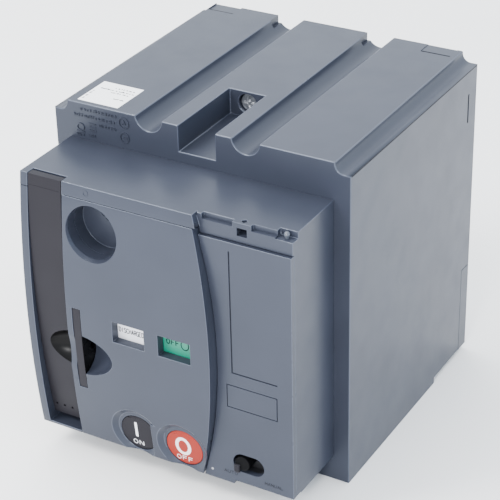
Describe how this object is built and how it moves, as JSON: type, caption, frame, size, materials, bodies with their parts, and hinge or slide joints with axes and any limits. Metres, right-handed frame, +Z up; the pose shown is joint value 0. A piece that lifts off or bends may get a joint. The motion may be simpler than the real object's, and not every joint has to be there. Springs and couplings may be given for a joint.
{
  "type": "circuit breaker motor operator",
  "caption": "Motor operating mechanism for a circuit breaker: ribbed grey housing, curved front with charging lever, push-buttons, flags and a toggle carriage.",
  "frame": {"origin": "middle of the footprint, on the underside of the rear housing", "axes": "+X to the right seen from the front, -Y towards the front, +Z up"},
  "size_m": [0.14, 0.162, 0.1521],
  "materials": {
    "housing_plastic": "satin",
    "frame_plastic": "matte",
    "lever_plastic": "matte",
    "black_plastic": "satin",
    "stop_red": "satin",
    "label_white": "satin",
    "flag_green": "satin",
    "board_green": "satin",
    "terminal_plastic": "satin",
    "motor_paint": "satin",
    "bronze": "satin",
    "steel": "brushed"
  },
  "bodies": {
    "housing": {"rear_housing": "housing_plastic", "rear_plate": "frame_plastic", "front_housing": "housing_plastic", "front_cover": "housing_plastic", "accessory_cover": "housing_plastic", "keylock_blank": "housing_plastic", "rating_label": "label_white", "seal_stud": "steel", "side_plate_left": "steel", "side_plate_right": "steel", "frame_spacers": "steel", "frame_screws": "steel", "housing_screws": "steel", "guide_rods": "steel", "rod_bracket_bottom": "steel", "rod_bracket_top": "steel", "motor_body": "motor_paint", "motor_gearhead": "steel", "motor_screws": "steel", "intermediate_axle": "steel", "shaft_bushings": "bronze", "lever_pin": "steel", "latch_axle": "steel", "stop_pawl_pin": "steel", "lever_return_spring": "steel", "limit_switches": "black_plastic", "circuit_board": "board_green", "terminal_block": "terminal_plastic", "terminal_screws": "steel", "flag_frame": "frame_plastic", "selector_tray": "frame_plastic", "selector_switch": "black_plastic", "closing_springs": "steel", "on_button_spring": "steel", "off_button_spring": "steel"},
    "lever": {"charging_lever": "lever_plastic", "lever_sector": "steel", "lever_rivets": "steel"},
    "pawl_carrier": {"pawl_carrier": "steel", "drive_pawl": "steel"},
    "charging_shaft": {"charging_shaft": "steel", "main_gear": "steel", "ratchet_wheel": "steel", "rack_pinion": "steel"},
    "intermediate_gear": {"intermediate_gear": "bronze"},
    "motor_rotor": {"motor_shaft": "steel", "motor_pinion": "bronze"},
    "carriage": {"toggle_carriage": "steel", "carriage_rack": "steel", "carriage_bushes": "bronze"},
    "on_button": {"on_button": "lever_plastic"},
    "off_button": {"off_button": "stop_red"},
    "on_latch": {"on_latch": "steel"},
    "off_latch": {"off_latch": "steel"},
    "stop_pawl": {"stop_pawl": "steel"},
    "padlock_tab": {"padlock_tab": "lever_plastic"},
    "selector_knob": {"selector_knob": "black_plastic"},
    "charge_flag": {"charge_flag": "label_white"},
    "contact_flag": {"contact_flag": "flag_green"}
  },
  "joints": [
    {"name": "lever_swing", "type": "hinge", "parent": "housing", "child": "lever", "pos_m": [0, -0.068, 0.021], "axis": [1, 0, 0], "range_deg": [0, 50], "stiffness_Nm_per_rad": 0.12, "springref_deg": -14.32},
    {"name": "pawl_carrier_turn", "type": "hinge", "parent": "housing", "child": "pawl_carrier", "pos_m": [0, -0.03475, 0.06355], "axis": [1, 0, 0], "range_deg": [-100.5, 0.5]},
    {"name": "charging_shaft_turn", "type": "hinge", "parent": "housing", "child": "charging_shaft", "pos_m": [0, -0.03475, 0.06355], "axis": [1, 0, 0], "range_deg": [-150, 0], "stiffness_Nm_per_rad": 0.135, "springref_deg": 32.72},
    {"name": "intermediate_gear_turn", "type": "hinge", "parent": "housing", "child": "intermediate_gear", "pos_m": [0, 0.00315, 0.0555], "axis": [1, 0, 0], "range_deg": [-1, 520]},
    {"name": "motor_turn", "type": "hinge", "parent": "housing", "child": "motor_rotor", "pos_m": [0, 0.02497, 0.03209], "axis": [1, 0, 0], "range_deg": [-1845, 5]},
    {"name": "carriage_slide", "type": "slide", "parent": "housing", "child": "carriage", "axis": [0, 0, 1], "range_m": [-0.0322, 0.0001], "deforming": ["closing_springs"]},
    {"name": "charge_flag_slide", "type": "slide", "parent": "housing", "child": "charge_flag", "axis": [0, 0, 1], "range_m": [-0.0001, 0.0111]},
    {"name": "contact_flag_slide", "type": "slide", "parent": "housing", "child": "contact_flag", "axis": [0, 0, 1], "range_m": [0, 0.011]},
    {"name": "on_button_press", "type": "slide", "parent": "housing", "child": "on_button", "axis": [0, 1, 0], "range_m": [0, 0.003], "stiffness_N_per_m": 600, "springref_m": -0.0015, "deforming": ["on_button_spring"]},
    {"name": "off_button_press", "type": "slide", "parent": "housing", "child": "off_button", "axis": [0, 1, 0], "range_m": [0, 0.003], "stiffness_N_per_m": 600, "springref_m": -0.0015, "deforming": ["off_button_spring"]},
    {"name": "on_latch_turn", "type": "hinge", "parent": "housing", "child": "on_latch", "pos_m": [-0.0122, -0.048, 0.04], "axis": [1, 0, 0], "range_deg": [-0.5, 10]},
    {"name": "off_latch_turn", "type": "hinge", "parent": "housing", "child": "off_latch", "pos_m": [0.0106, -0.048, 0.04], "axis": [1, 0, 0], "range_deg": [-0.5, 10]},
    {"name": "stop_pawl_turn", "type": "hinge", "parent": "housing", "child": "stop_pawl", "pos_m": [-0.0436, -0.01669, 0.04349], "axis": [1, 0, 0], "range_deg": [-12, 0], "stiffness_Nm_per_rad": 0.02, "springref_deg": 11.46},
    {"name": "padlock_tab_slide", "type": "slide", "parent": "housing", "child": "padlock_tab", "axis": [0, -1, 0], "range_m": [0, 0.014]},
    {"name": "selector_slide", "type": "slide", "parent": "housing", "child": "selector_knob", "axis": [1, 0, 0], "range_m": [0, 0.0057]}
  ],
  "couplings": [
    {"joint": "pawl_carrier_turn", "follows": "lever_swing", "ratio": -2},
    {"joint": "intermediate_gear_turn", "follows": "charging_shaft_turn", "ratio": -3.4286},
    {"joint": "motor_turn", "follows": "charging_shaft_turn", "ratio": 12.245},
    {"joint": "carriage_slide", "follows": "charging_shaft_turn", "m_per_rad": 0.01225},
    {"joint": "charge_flag_slide", "follows": "charging_shaft_turn", "m_per_rad": -0.0042017},
    {"joint": "on_latch_turn", "follows": "on_button_press", "rad_per_m": 55},
    {"joint": "off_latch_turn", "follows": "off_button_press", "rad_per_m": 55}
  ]
}
